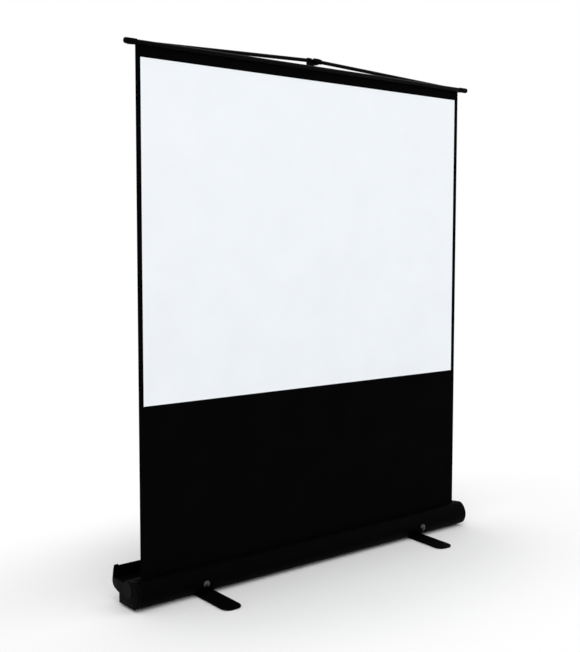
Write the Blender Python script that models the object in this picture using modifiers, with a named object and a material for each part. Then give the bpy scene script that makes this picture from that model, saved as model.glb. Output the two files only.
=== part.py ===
"""A pull up projection screen: a casing on two swivelling feet holds a sprung roller, whose fabric
is raised on a top bar. A yoke on two hanger rods hangs the bar in the hook of a telescopic mast.

Lengths are in metres. The origin is on the floor, midway between the two foot pivots.
X runs along the screen, Y to its rear and Z up.
"""

import math

import bmesh
import bpy
from mathutils import Matrix, Vector

# Fits and facets
CLEARANCE = 0.0003
OVERRUN = 0.004
WELD = 0.00001
FINE_SIDES = 32
SIDES = 24
SMALL_SIDES = 16
ARC_STEP = math.radians(12)
SHARP_ANGLE = math.radians(35)
QUARTER = math.pi / 2

# Overall
FABRIC_WIDTH = 1.640
BAR_Z = 1.962
END_MARGIN = 0.041

# Feet: each is turned a little out of square, as it was left standing
FOOT_INSET = 0.300
FOOT_LENGTH = 0.502
FOOT_WIDTH = 0.079
FOOT_THICKNESS = 0.0054
FOOT_CORNER = 0.030
FOOT_EDGE = 0.0008
FOOT_TURNS = {-1: math.radians(-2.5), 1: math.radians(-5.5)}
PAD_THICKNESS = 0.0017
PAD_LENGTH = 0.040
PAD_CORNER = 0.008
PAD_MARGIN = 0.006
BOLT_RADIUS = 0.005
BOLT_HEAD_RADIUS = 0.011
BOLT_HEAD_THICKNESS = 0.0010
WASHER_RADIUS = 0.016
WASHER_THICKNESS = 0.001
NUT_RADIUS = 0.0098
NUT_THICKNESS = 0.005
NUT_SIDES = 6

# Heights that the feet set
FOOT_BOTTOM = PAD_THICKNESS + CLEARANCE
FOOT_TOP = FOOT_BOTTOM + FOOT_THICKNESS
WASHER_BOTTOM = FOOT_TOP + CLEARANCE
CASING_BOTTOM = WASHER_BOTTOM + WASHER_THICKNESS + CLEARANCE

# Casing section: heights are above its underside, and those behind the slot are from the deck
WALL = 0.0025
PLINTH_DEPTH = 0.104
PLINTH_HEIGHT = 0.035
NOSE_RADIUS = 0.058
NOSE_Y = -0.018
NOSE_HEIGHT = 0.045
NOSE_END_ANGLE = math.radians(218)
CROWN_CUT = 0.006
TOP_FALL = 0.002
TOP_REAR_Y = 0.004
DECK_DROP = 0.016
DECK_FRONT_Y = 0.016
REAR_RADIUS = 0.026
REAR_Y = 0.074
REAR_DROP = 0.012
REAR_START_ANGLE = math.radians(-70)
REAR_END_ANGLE = math.radians(13)
HAUNCH_REACH = 0.008
HAUNCH_RISE = 0.002
RIDGE_RISE = 0.0425
CAP_RIDGE_RISE = 0.047
RIDGE_WAIST_RISE = 0.025
RIDGE_WAIST_Y = 0.094
RIDGE_TOP_Y = 0.086
RIDGE_THICKNESS = 0.0038
SLOT_WIDTH = 0.014

# Casing ends
CAP_THICKNESS = 0.016
CAP_EDGE = 0.0025
CAP_PLUG_LENGTH = 0.008
COVER_RADIUS = 0.030
COVER_THICKNESS = 0.0018
COVER_EDGE = 0.0008
BOSS_RADIUS = 0.016
BOSS_LENGTH = 0.008
BEARING_RADIUS = 0.010
BEARING_LENGTH = 0.0134

# Top bar, fabric and roller
BAR_Y = -0.0375
BAR_RADIUS = 0.0085
BAR_WALL = 0.0015
BAR_OVERHANG = 0.047
BAR_END_RADIUS = 0.0105
BAR_END_LENGTH = 0.0455
BAR_END_NOSE = 0.006
BAR_END_WALL = 0.009
FABRIC_THICKNESS = 0.0006
FABRIC_HEM = 0.004
ROLL_RADIUS = 0.0195
ROLLER_HEIGHT = 0.061
ROLLER_RADIUS = 0.016
ROLLER_WALL = 0.0012
ROLLER_EXTRA = 0.002
PLUG_SPIGOT = 0.018
PLUG_FLANGE = 0.0035
PLUG_NECK_RADIUS = 0.007
AXLE_RADIUS = 0.004
AXLE_END_GAP = 0.001
SHAFT_LENGTH = 0.546
SHAFT_BUSH_LENGTH = 0.020
SPRING_RADIUS = 0.0095
SPRING_LENGTH = 0.460
LANDING_GAP = 0.001

# Hanger: its places are measured from the top bar's axis and the fabric's edges
YOKE_BEHIND_BAR = 0.033
YOKE_ABOVE_BAR = 0.0345
YOKE_RADIUS = 0.0065
YOKE_NECK_LENGTH = 0.032
YOKE_SOCKET_RADIUS = 0.0098
YOKE_HALF_LENGTH = 0.036
YOKE_EDGE = 0.0012
ROD_RADIUS = 0.0072
ROD_INNER_X = 0.024
ROD_PAST_FABRIC = 0.020
ROD_BEHIND_BAR = 0.0185
ROD_ABOVE_BAR = 0.0018
LUG_RADIUS = 0.0095
LUG_LENGTH = 0.022
LUG_WEB_LENGTH = 0.016
LUG_WEB_HEIGHT = 0.010

# Mast: stations run along its axis from the hinge
RIDGE_GAP = 0.0006
HINGE_ABOVE_TUBE = 0.012
HOOK_REACH = 0.0255
BASE_RADIUS = 0.016
BASE_WALL = 0.0016
MIDDLE_RADIUS = 0.0135
MIDDLE_WALL = 0.0012
UPPER_RADIUS = 0.011
UPPER_WALL = 0.0012
TUBE_START = 0.022
BASE_LENGTH = 0.700
STAGE_OVERLAP = 0.085
STACK_GAP = 0.003
GUIDE_LENGTH = 0.012
GUIDE_SPIGOT = 0.008
GUIDE_BORE = 0.006

KNUCKLE_THICKNESS = 0.024
KNUCKLE_RADIUS = 0.012
KNUCKLE_SPIGOT = 0.030
BRACKET_WIDTH = 0.040
BRACKET_PLATE = 0.003
BRACKET_LIP = 0.002
BRACKET_PLAY = 0.0006
PIN_RADIUS = 0.004
PIN_HEAD_RADIUS = 0.0065
PIN_HEAD_LENGTH = 0.0025
REST_X = 0.450
REST_LENGTH = 0.018
REST_WALL = 0.0025

COLLAR_GRIP = 0.020
COLLAR_WALL = 0.0032
COLLAR_EDGE = 0.001
EAR_RADIUS = 0.005
EAR_REACH = 0.003
EAR_ANGLE = math.radians(225)
LEVER_TIP_ANGLE = math.radians(150)
LEVER_HEIGHT = 0.020
LEVER_THICKNESS = 0.0035
LEVER_PLAY = 0.0005
LEVER_PIN_RADIUS = 0.002

HEAD_WIDTH = 0.0275
HEAD_SOCKET = 0.022
HEAD_WALL = 0.0025
HEAD_CREST = 0.009
HOOK_FLOOR = 0.008
HOOK_WALL = 0.0115
HOOK_CHAMFER = 0.007
HOOK_TIP = 0.008
HOOK_REAR_RISE = 0.006
HOOK_EDGE = 0.0012

# Foot buttons
BUTTON_PAST_FOOT = 0.012
BUTTON_BELOW_NOSE = 0.0075
BUTTON_RADIUS = 0.0138
BUTTON_PROUD = 0.010
BUTTON_DOME = 0.0065
BUTTON_FLANGE_RADIUS = 0.017
BUTTON_FLANGE = 0.0015
BUTTON_STEM_RADIUS = 0.004
BUTTON_STEM_END = 0.006
GUIDE_PLATE = 0.0015
GUIDE_PLATE_Y = -0.050
GUIDE_PLATE_WIDTH = 0.026
GUIDE_PLATE_FOOT = 0.018
GUIDE_PLATE_RISE = 0.012

# Places that follow from the sizes
HALF_CASING = FABRIC_WIDTH / 2 + END_MARGIN
FOOT_PIVOT_X = HALF_CASING - FOOT_INSET
BUTTON_X = FOOT_PIVOT_X + BUTTON_PAST_FOOT
NOSE_Z = CASING_BOTTOM + NOSE_HEIGHT
CASING_TOP = NOSE_Z + NOSE_RADIUS - CROWN_CUT
DECK_Z = CASING_TOP - DECK_DROP
ROLLER_Z = CASING_BOTTOM + ROLLER_HEIGHT
FLOOR_Z = CASING_BOTTOM + WALL
HOUSING_END = HALF_CASING - CAP_THICKNESS - CLEARANCE
BOSS_END = HALF_CASING - CAP_THICKNESS - CAP_PLUG_LENGTH - BOSS_LENGTH
BUTTON_Z = NOSE_Z - BUTTON_BELOW_NOSE

BAR_HALF_LENGTH = FABRIC_WIDTH / 2 + BAR_OVERHANG
FABRIC_Y = BAR_Y + BAR_RADIUS + CLEARANCE + FABRIC_THICKNESS / 2
FABRIC_TOP = BAR_Z + FABRIC_HEM
BAR_TRAVEL = BAR_Z - CASING_TOP - BAR_END_RADIUS - LANDING_GAP
ROLLER_Y = FABRIC_Y + FABRIC_THICKNESS / 2 + CLEARANCE + ROLL_RADIUS
AXLE_END = BOSS_END + BEARING_LENGTH - AXLE_END_GAP
SHAFT_INNER_X = AXLE_END - SHAFT_LENGTH + AXLE_END_GAP
YOKE_Y = BAR_Y + YOKE_BEHIND_BAR
YOKE_Z = BAR_Z + YOKE_ABOVE_BAR
ROD_OUTER_X = FABRIC_WIDTH / 2 + ROD_PAST_FABRIC
ROD_OUTER_Y = BAR_Y + ROD_BEHIND_BAR
ROD_OUTER_Z = BAR_Z + ROD_ABOVE_BAR

HINGE_Y = RIDGE_TOP_Y - RIDGE_THICKNESS - RIDGE_GAP - BASE_RADIUS
HINGE_Z = DECK_Z + HINGE_ABOVE_TUBE + BASE_RADIUS
HOOK_DISTANCE = math.hypot(HINGE_Y - YOKE_Y, YOKE_Z - HINGE_Z)
MAST_LEAN = math.asin((HINGE_Y - YOKE_Y) / HOOK_DISTANCE) - math.asin(HOOK_REACH / HOOK_DISTANCE)
HOOK_STATION = math.sqrt(HOOK_DISTANCE**2 - HOOK_REACH**2)
BASE_TOP = TUBE_START + BASE_LENGTH
UPPER_TOP = HOOK_STATION - HEAD_CREST
HEAD_BOTTOM = UPPER_TOP - HEAD_SOCKET
MIDDLE_TOP = (HEAD_BOTTOM + BASE_TOP + COLLAR_GRIP) / 2
STAGE_TRAVEL = MIDDLE_TOP - BASE_TOP - 2 * COLLAR_GRIP - STACK_GAP
MIDDLE_BOTTOM = BASE_TOP - STAGE_OVERLAP
UPPER_BOTTOM = MIDDLE_TOP - STAGE_OVERLAP

# Rotations that turn an outline or a turned shape from its own axes to the part's
SECTION = (QUARTER, 0, QUARTER)
UPRIGHT = (QUARTER, 0, 0)
ALONG_X = (0, QUARTER, 0)
ALONG_Y = (-QUARTER, 0, 0)
SIDE_NAMES = {-1: "left", 1: "right"}

FINISHES = {
    "black_coat": ((0.012, 0.012, 0.013, 1), 0.42, 0.0),
    "black_plastic": ((0.016, 0.016, 0.017, 1), 0.55, 0.0),
    "black_tube": ((0.010, 0.010, 0.011, 1), 0.30, 0.3),
    "rubber": ((0.020, 0.020, 0.020, 1), 0.90, 0.0),
    "steel": ((0.42, 0.42, 0.43, 1), 0.35, 1.0),
    "grey_button": ((0.22, 0.22, 0.23, 1), 0.40, 0.6),
    "screen_fabric": ((0.88, 0.90, 0.93, 1), 0.85, 0.0),
    "nylon": ((0.55, 0.54, 0.50, 1), 0.60, 0.0),
}


def make_collection(name):
    collection = bpy.data.collections.new(name)
    bpy.context.scene.collection.children.link(collection)
    return collection


def make_material(name):
    colour, roughness, metallic = FINISHES[name]
    material = bpy.data.materials.new(name)
    material.use_nodes = True
    shader = material.node_tree.nodes["Principled BSDF"]
    shader.inputs["Base Color"].default_value = colour
    shader.inputs["Roughness"].default_value = roughness
    shader.inputs["Metallic"].default_value = metallic
    material.diffuse_color = colour
    return material


def empty(name, location, rotation=(0, 0, 0), parent=None):
    axis = bpy.data.objects.new(name, None)
    parts.objects.link(axis)
    return put(axis, location, rotation, parent)


def put(obj, location=(0, 0, 0), rotation=(0, 0, 0), parent=None):
    obj.location = location
    obj.rotation_euler = rotation
    obj.parent = parent
    return obj


def add_mesh(name, mesh):
    obj = bpy.data.objects.new(name, mesh)
    parts.objects.link(obj)
    return obj


def from_bmesh(name, shape):
    mesh = bpy.data.meshes.new(name)
    shape.to_mesh(mesh)
    shape.free()
    return add_mesh(name, mesh)


def baked_mesh(obj):
    graph = bpy.context.evaluated_depsgraph_get()
    return bpy.data.meshes.new_from_object(obj.evaluated_get(graph))


def solid_from_curve(name, curve):
    """Makes the curve object's closed mesh, with its caps welded to its sides."""
    guide = bpy.data.objects.new(name, curve)
    parts.objects.link(guide)
    mesh = baked_mesh(guide)
    bpy.data.objects.remove(guide)
    bpy.data.curves.remove(curve)
    shape = bmesh.new()
    shape.from_mesh(mesh)
    bmesh.ops.remove_doubles(shape, verts=shape.verts, dist=WELD)
    bmesh.ops.recalc_face_normals(shape, faces=shape.faces)
    shape.to_mesh(mesh)
    shape.free()
    mesh.name = name
    return add_mesh(name, mesh)


def plate(name, outline, thickness, holes=()):
    """A flat outline with any holes, in its own XY plane, with half its thickness on each side."""
    curve = bpy.data.curves.new(name, "CURVE")
    curve.dimensions = "2D"
    curve.fill_mode = "BOTH"
    curve.extrude = thickness / 2
    for loop in (outline, *holes):
        spline = curve.splines.new("POLY")
        spline.points.add(len(loop) - 1)
        for point, (x, y) in zip(spline.points, loop):
            point.co = (x, y, 0, 1)
        spline.use_cyclic_u = True
    return solid_from_curve(name, curve)


def rod(name, start, end, radius):
    """A straight round rod between two points."""
    curve = bpy.data.curves.new(name, "CURVE")
    curve.dimensions = "3D"
    curve.bevel_depth = radius
    curve.bevel_resolution = 3
    curve.use_fill_caps = True
    spline = curve.splines.new("POLY")
    spline.points.add(1)
    for point, place in zip(spline.points, (start, end)):
        point.co = (*place, 1)
    return solid_from_curve(name, curve)


def turned(name, profile, sides=SIDES):
    """A profile turned about Z. Its (radius, height) points run down the outer side, top to bottom.

    A profile that starts off the axis is a ring, so its last point is joined to its first.
    """
    shape = bmesh.new()
    verts = [shape.verts.new((radius, 0, height)) for radius, height in profile]
    for upper, lower in zip(verts, verts[1:]):
        shape.edges.new((upper, lower))
    if profile[0][0] > 0:
        shape.edges.new((verts[-1], verts[0]))
    obj = from_bmesh(name, shape)
    screw = obj.modifiers.new("turn", "SCREW")
    screw.steps = sides
    screw.render_steps = sides
    screw.use_merge_vertices = True
    screw.merge_threshold = WELD
    return obj


def ring(name, outer, inner, bottom, top, sides=SIDES):
    return turned(name, [(outer, top), (outer, bottom), (inner, bottom), (inner, top)], sides)


def cylinder(name, radius, length, sides=SIDES):
    """A solid cylinder along Z with its middle at zero."""
    shape = bmesh.new()
    bmesh.ops.create_cone(
        shape, cap_ends=True, segments=sides, radius1=radius, radius2=radius, depth=length
    )
    return from_bmesh(name, shape)


def box(name, size):
    shape = bmesh.new()
    bmesh.ops.create_cube(shape, size=1, matrix=Matrix.Diagonal((*size, 1)))
    return from_bmesh(name, shape)


def bevel(obj, width, segments=1):
    modifier = obj.modifiers.new("edges", "BEVEL")
    modifier.width = width
    modifier.segments = segments
    modifier.limit_method = "ANGLE"
    modifier.angle_limit = SHARP_ANGLE
    return obj


def combine(obj, other, operation):
    """Joins the other object to this one or cuts it away, and files the other with the cutters."""
    parts.objects.unlink(other)
    cutters.objects.link(other)
    other.hide_render = True
    other.display_type = "WIRE"
    modifier = obj.modifiers.new(other.name, "BOOLEAN")
    modifier.operation = operation
    modifier.object = other
    return obj


def join(obj, other):
    return combine(obj, other, "UNION")


def cut(obj, other):
    return combine(obj, other, "DIFFERENCE")


def arc(centre, radius, start, end):
    """Points from one angle to another, both kept."""
    count = max(1, math.ceil(abs(end - start) / ARC_STEP))
    angles = [start + (end - start) * index / count for index in range(count + 1)]
    return [(centre[0] + radius * math.cos(a), centre[1] + radius * math.sin(a)) for a in angles]


def circle(radius, sides=SIDES):
    angles = [math.tau * index / sides for index in range(sides)]
    return [(radius * math.cos(a), radius * math.sin(a)) for a in angles]


def rounded_rectangle(width, height, corner):
    points = []
    for quarter, (side_x, side_y) in enumerate(((1, 1), (-1, 1), (-1, -1), (1, -1))):
        centre = (side_x * (width / 2 - corner), side_y * (height / 2 - corner))
        points += arc(centre, corner, quarter * QUARTER, (quarter + 1) * QUARTER)
    return points


def offset_path(points, distance):
    """The open path moved to its left, with mitred corners."""
    points = [Vector(point) for point in points]
    normals = []
    for start, end in zip(points, points[1:]):
        along = (end - start).normalized()
        normals.append(Vector((-along.y, along.x)))
    before = normals[:1] + normals
    after = normals + normals[-1:]
    moved = []
    for point, first, second in zip(points, before, after):
        moved.append(tuple(point + (first + second) * distance / (1 + first.dot(second))))
    return moved


def finish(material_of):
    """Bakes each piece's modifiers, shades it smooth up to its sharp edges and colours it."""
    meshes = {}
    for name in material_of:
        meshes[name] = baked_mesh(bpy.data.objects[name])
    for name, finish_name in material_of.items():
        obj = bpy.data.objects[name]
        obj.modifiers.clear()
        obj.data = meshes[name]
        obj.data.name = name
        obj.data.shade_smooth()
        obj.data.set_sharp_from_angle(angle=SHARP_ANGLE)
        obj.data.materials.clear()
        obj.data.materials.append(materials[finish_name])


def front_path():
    """The section from the slot's front lip round the nose and under the plinth to the ridge's root."""
    nose = (NOSE_Y, NOSE_Z)
    shoulder = CASING_TOP - TOP_FALL
    start = math.pi - math.asin((shoulder - NOSE_Z) / NOSE_RADIUS)
    rear = (REAR_Y, DECK_Z - REAR_DROP)
    half_plinth = PLINTH_DEPTH / 2
    plinth_top = CASING_BOTTOM + PLINTH_HEIGHT
    return [
        (FABRIC_Y - SLOT_WIDTH / 2, CASING_TOP),
        *arc(nose, NOSE_RADIUS, start, NOSE_END_ANGLE),
        (-half_plinth, CASING_BOTTOM),
        (half_plinth, CASING_BOTTOM),
        (half_plinth, plinth_top),
        (half_plinth + HAUNCH_REACH, plinth_top + HAUNCH_RISE),
        *arc(rear, REAR_RADIUS, REAR_START_ANGLE, REAR_END_ANGLE),
    ]


def ridge_path(rise):
    """The rear ridge, up its outer side and down its inner one, to a height above the deck."""
    waist = DECK_Z + RIDGE_WAIST_RISE
    crest = DECK_Z + rise
    return [
        (RIDGE_WAIST_Y, waist),
        (RIDGE_TOP_Y, crest),
        (RIDGE_TOP_Y - RIDGE_THICKNESS, crest),
        (RIDGE_WAIST_Y - RIDGE_THICKNESS, waist),
    ]


def top_path():
    """The deck behind the slot, from the ridge's root forward to the slot's rear lip."""
    return [
        (REAR_Y + REAR_RADIUS - 2 * RIDGE_THICKNESS, DECK_Z),
        (DECK_FRONT_Y, DECK_Z),
        (TOP_REAR_Y, CASING_TOP - 2 * TOP_FALL),
        (FABRIC_Y + SLOT_WIDTH / 2, CASING_TOP - TOP_FALL),
    ]


def nose_inner_y(height_off_centre):
    """How far forward the inside of the nose reaches at a height above or below its centre."""
    flat_radius = (NOSE_RADIUS - WALL) * math.cos(ARC_STEP / 2)
    return NOSE_Y - math.sqrt(flat_radius**2 - height_off_centre**2)


def build_casing():
    skin = front_path() + top_path()
    inner = offset_path(skin, WALL)
    outer = front_path() + ridge_path(RIDGE_RISE) + top_path()
    cap_outline = front_path() + ridge_path(CAP_RIDGE_RISE) + top_path()
    length = 2 * HOUSING_END
    put(plate("housing", outer + inner[::-1], length), rotation=SECTION)
    housing = bpy.data.objects["housing"]
    for side, word in SIDE_NAMES.items():
        bolt_hole = cylinder("bolt_hole_" + word, BOLT_RADIUS + CLEARANCE, WALL + 2 * OVERRUN)
        put(bolt_hole, (side * FOOT_PIVOT_X, 0, CASING_BOTTOM + WALL / 2))
        cut(housing, bolt_hole)
        button_hole = cylinder("button_hole_" + word, BUTTON_RADIUS + CLEARANCE, NOSE_RADIUS)
        put(button_hole, (side * BUTTON_X, NOSE_Y - NOSE_RADIUS, BUTTON_Z), ALONG_Y)
        cut(housing, button_hole)
        build_end_cap(side, word, cap_outline, inner)
    build_mast_bracket()


def build_end_cap(side, word, outline, inner):
    """An end of the casing, whose ridge stands a little proud of the housing's."""
    cap = bevel(plate("end_cap_" + word, outline, CAP_THICKNESS), CAP_EDGE, 2)
    put(cap, (side * (HALF_CASING - CAP_THICKNESS / 2), 0, 0), SECTION)
    plug_length = CAP_PLUG_LENGTH + OVERRUN
    plug = plate("cap_plug_" + word, offset_path(inner + inner[:1], CLEARANCE)[:-1], plug_length)
    plug_middle = HALF_CASING - CAP_THICKNESS + OVERRUN - plug_length / 2
    put(plug, (side * plug_middle, 0, 0), SECTION)
    join(cap, plug)
    boss_length = BOSS_LENGTH + OVERRUN
    boss = cylinder("cap_boss_" + word, BOSS_RADIUS, boss_length, FINE_SIDES)
    put(boss, (side * (BOSS_END + boss_length / 2), ROLLER_Y, ROLLER_Z), ALONG_X)
    join(cap, boss)
    seat_depth = BEARING_LENGTH + CLEARANCE
    seat = cylinder("bearing_seat_" + word, BEARING_RADIUS + CLEARANCE, 2 * seat_depth)
    put(seat, (side * BOSS_END, ROLLER_Y, ROLLER_Z), ALONG_X)
    cut(cap, seat)

    cover = turned(
        "axle_cover_" + word,
        [
            (0, COVER_THICKNESS),
            (COVER_RADIUS - COVER_EDGE, COVER_THICKNESS),
            (COVER_RADIUS, COVER_THICKNESS - COVER_EDGE),
            (COVER_RADIUS, 0),
            (0, 0),
        ],
        FINE_SIDES,
    )
    put(cover, (side * (HALF_CASING + CLEARANCE), ROLLER_Y, ROLLER_Z), (0, side * QUARTER, 0))


def build_mast_bracket():
    half = BRACKET_WIDTH / 2
    base_bottom = DECK_Z + CLEARANCE
    cheek_bottom = base_bottom + BRACKET_PLATE / 2
    cheek = [
        (BRACKET_LIP - half, cheek_bottom),
        (half - BRACKET_LIP, cheek_bottom),
        *arc((0, HINGE_Z), KNUCKLE_RADIUS, 0, math.pi),
    ]
    inside = KNUCKLE_THICKNESS / 2 + BRACKET_PLAY
    depth = 2 * (inside + BRACKET_PLATE + BRACKET_LIP)
    bracket = box("mast_bracket", (BRACKET_WIDTH, depth, BRACKET_PLATE))
    put(bracket, (0, HINGE_Y, base_bottom + BRACKET_PLATE / 2))
    for side, word in ((-1, "front"), (1, "rear")):
        flank = plate("cheek_" + word, cheek, BRACKET_PLATE)
        put(flank, (0, HINGE_Y + side * (inside + BRACKET_PLATE / 2), 0), UPRIGHT)
        join(bracket, flank)
    bore = cylinder("bracket_bore", PIN_RADIUS + CLEARANCE, depth + 2 * OVERRUN)
    cut(bracket, put(bore, (0, 0, 0), ALONG_Y, mast_axis))

    shank_end = inside + BRACKET_PLATE + OVERRUN / 2
    pin = turned(
        "mast_hinge_pin",
        [
            (0, shank_end),
            (PIN_RADIUS, shank_end),
            (PIN_RADIUS, -inside - BRACKET_PLATE - 2 * CLEARANCE),
            (PIN_HEAD_RADIUS, -inside - BRACKET_PLATE - 2 * CLEARANCE),
            (PIN_HEAD_RADIUS, -inside - BRACKET_PLATE - 2 * CLEARANCE - PIN_HEAD_LENGTH),
            (0, -inside - BRACKET_PLATE - 2 * CLEARANCE - PIN_HEAD_LENGTH),
        ],
        SMALL_SIDES,
    )
    put(pin, (0, 0, 0), ALONG_Y, mast_axis)

    inner = BASE_RADIUS + CLEARANCE
    outer = inner + REST_WALL
    rim = (outer + inner) / 2
    saddle = [
        *arc((0, HINGE_Z), outer, math.pi, 1.5 * math.pi)[:-2],
        (-rim / 2, base_bottom),
        (rim / 2, base_bottom),
        *arc((0, HINGE_Z), outer, 1.5 * math.pi, math.tau)[2:],
        (outer, HINGE_Z + REST_WALL),
        (inner, HINGE_Z + REST_WALL),
        *arc((0, HINGE_Z), inner, math.tau, math.pi),
        (-inner, HINGE_Z + REST_WALL),
        (-outer, HINGE_Z + REST_WALL),
    ]
    put(plate("mast_rest", saddle, REST_LENGTH), (REST_X, HINGE_Y, 0), SECTION)


def build_foot(side, word):
    pivot_x = side * FOOT_PIVOT_X
    outline = rounded_rectangle(FOOT_WIDTH, FOOT_LENGTH, FOOT_CORNER)
    bar = plate("foot_bar_" + word, outline, FOOT_THICKNESS)
    turn = (0, 0, FOOT_TURNS[side])
    put(bevel(bar, FOOT_EDGE), (pivot_x, 0, FOOT_BOTTOM + FOOT_THICKNESS / 2), turn)
    bore = cylinder("foot_bore_" + word, BOLT_RADIUS + CLEARANCE, FOOT_THICKNESS + 2 * OVERRUN)
    cut(bar, put(bore, (pivot_x, 0, FOOT_BOTTOM + FOOT_THICKNESS / 2)))
    pad_width = FOOT_WIDTH - 2 * PAD_MARGIN
    reach = FOOT_LENGTH / 2 - PAD_MARGIN - PAD_LENGTH / 2
    for end, end_word in ((-1, "front"), (1, "rear")):
        outline = rounded_rectangle(pad_width - FOOT_CORNER + PAD_MARGIN, PAD_LENGTH, PAD_CORNER)
        pad = plate(f"foot_pad_{word}_{end_word}", outline, PAD_THICKNESS)
        put(pad, (0, end * reach, PAD_THICKNESS / 2 - bar.location.z), parent=bar)

    head_top = FOOT_BOTTOM - CLEARANCE
    shank_top = FLOOR_Z + CLEARANCE + NUT_THICKNESS + CLEARANCE
    bolt = turned(
        "foot_bolt_" + word,
        [
            (0, shank_top),
            (BOLT_RADIUS, shank_top),
            (BOLT_RADIUS, head_top),
            (BOLT_HEAD_RADIUS, head_top),
            (BOLT_HEAD_RADIUS, head_top - BOLT_HEAD_THICKNESS),
            (0, head_top - BOLT_HEAD_THICKNESS),
        ],
    )
    put(bolt, (pivot_x, 0, 0))
    washer_top = WASHER_BOTTOM + WASHER_THICKNESS
    bore_radius = BOLT_RADIUS + CLEARANCE
    washer = ring("foot_washer_" + word, WASHER_RADIUS, bore_radius, WASHER_BOTTOM, washer_top)
    put(washer, (pivot_x, 0, 0))
    nut_holes = [circle(bore_radius)]
    nut = plate("foot_nut_" + word, circle(NUT_RADIUS, NUT_SIDES), NUT_THICKNESS, nut_holes)
    put(nut, (pivot_x, 0, FLOOR_Z + CLEARANCE + NUT_THICKNESS / 2))


def build_button(side, word):
    x = side * BUTTON_X
    flange_front = nose_inner_y(BUTTON_BELOW_NOSE + BUTTON_FLANGE_RADIUS) + CLEARANCE
    face = NOSE_Y - NOSE_RADIUS - BUTTON_PROUD
    stem_end = GUIDE_PLATE_Y + GUIDE_PLATE + BUTTON_STEM_END
    crown = arc((0, 0), 1, QUARTER, 0)
    dome = [(BUTTON_RADIUS * a, -face - BUTTON_DOME * (1 - b)) for a, b in crown[::2]]
    button = turned(
        "foot_button_" + word,
        [
            *dome,
            (BUTTON_RADIUS, -flange_front),
            (BUTTON_FLANGE_RADIUS, -flange_front),
            (BUTTON_FLANGE_RADIUS, -flange_front - BUTTON_FLANGE),
            (BUTTON_STEM_RADIUS, -flange_front - BUTTON_FLANGE),
            (BUTTON_STEM_RADIUS, -stem_end),
            (0, -stem_end),
        ],
        FINE_SIDES,
    )
    put(button, (x, 0, BUTTON_Z), (QUARTER, 0, 0))

    bottom = FLOOR_Z + CLEARANCE
    top = BUTTON_Z + GUIDE_PLATE_RISE
    back = GUIDE_PLATE_Y + GUIDE_PLATE
    angle = [
        (GUIDE_PLATE_Y, bottom),
        (GUIDE_PLATE_Y + GUIDE_PLATE_FOOT, bottom),
        (GUIDE_PLATE_Y + GUIDE_PLATE_FOOT, bottom + GUIDE_PLATE),
        (back, bottom + GUIDE_PLATE),
        (back, top),
        (GUIDE_PLATE_Y, top),
    ]
    guide = put(plate("button_guide_" + word, angle, GUIDE_PLATE_WIDTH), (x, 0, 0), SECTION)
    stem_hole = cylinder("stem_hole_" + word, BUTTON_STEM_RADIUS + CLEARANCE, 2 * OVERRUN)
    cut(guide, put(stem_hole, (x, back, BUTTON_Z), ALONG_Y))


def build_roller():
    half_fabric = FABRIC_WIDTH / 2
    half_tube = half_fabric + ROLLER_EXTRA
    centre = (0, ROLLER_Y, ROLLER_Z)
    bore = ROLLER_RADIUS - ROLLER_WALL
    tube = ring("roller_tube", ROLLER_RADIUS, bore, -half_tube, half_tube, FINE_SIDES)
    put(tube, centre, ALONG_X)
    roll_bore = ROLLER_RADIUS + CLEARANCE
    roll = ring("fabric_roll", ROLL_RADIUS, roll_bore, -half_fabric, half_fabric, FINE_SIDES)
    put(roll, centre, ALONG_X)

    flange = half_tube + CLEARANCE
    spigot_radius = bore - CLEARANCE
    neck_end = BOSS_END - CLEARANCE
    idle = turned(
        "idle_plug",
        [
            (0, AXLE_END),
            (AXLE_RADIUS, AXLE_END),
            (AXLE_RADIUS, neck_end),
            (PLUG_NECK_RADIUS, neck_end),
            (PLUG_NECK_RADIUS, flange + PLUG_FLANGE),
            (ROLLER_RADIUS, flange + PLUG_FLANGE),
            (ROLLER_RADIUS, flange),
            (spigot_radius, flange),
            (spigot_radius, flange - PLUG_SPIGOT),
            (0, flange - PLUG_SPIGOT),
        ],
    )
    put(idle, centre, (0, -QUARTER, 0))
    shaft_bore = AXLE_RADIUS + CLEARANCE
    spring_plug = turned(
        "spring_plug",
        [
            (shaft_bore, neck_end),
            (PLUG_NECK_RADIUS, neck_end),
            (PLUG_NECK_RADIUS, flange + PLUG_FLANGE),
            (ROLLER_RADIUS, flange + PLUG_FLANGE),
            (ROLLER_RADIUS, flange),
            (spigot_radius, flange),
            (spigot_radius, flange - PLUG_SPIGOT),
            (shaft_bore, flange - PLUG_SPIGOT),
        ],
    )
    put(spring_plug, centre, ALONG_X)
    bush_end = SHAFT_INNER_X + SHAFT_BUSH_LENGTH
    put(ring("shaft_bush", spigot_radius, shaft_bore, SHAFT_INNER_X, bush_end), centre, ALONG_X)

    shaft_start = (SHAFT_INNER_X - AXLE_END_GAP, ROLLER_Y, ROLLER_Z)
    rod("spring_shaft", shaft_start, (AXLE_END, ROLLER_Y, ROLLER_Z), AXLE_RADIUS)
    spring_end = flange - PLUG_SPIGOT - CLEARANCE
    spring_start = spring_end - SPRING_LENGTH
    spring = ring("torsion_spring", SPRING_RADIUS, shaft_bore, spring_start, spring_end)
    put(spring, centre, ALONG_X)
    for side, name in ((-1, "idle_bearing"), (1, "spring_bearing")):
        start = BOSS_END
        bearing = ring(name, BEARING_RADIUS, shaft_bore, start, start + BEARING_LENGTH)
        put(bearing, centre, (0, side * QUARTER, 0))


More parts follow.
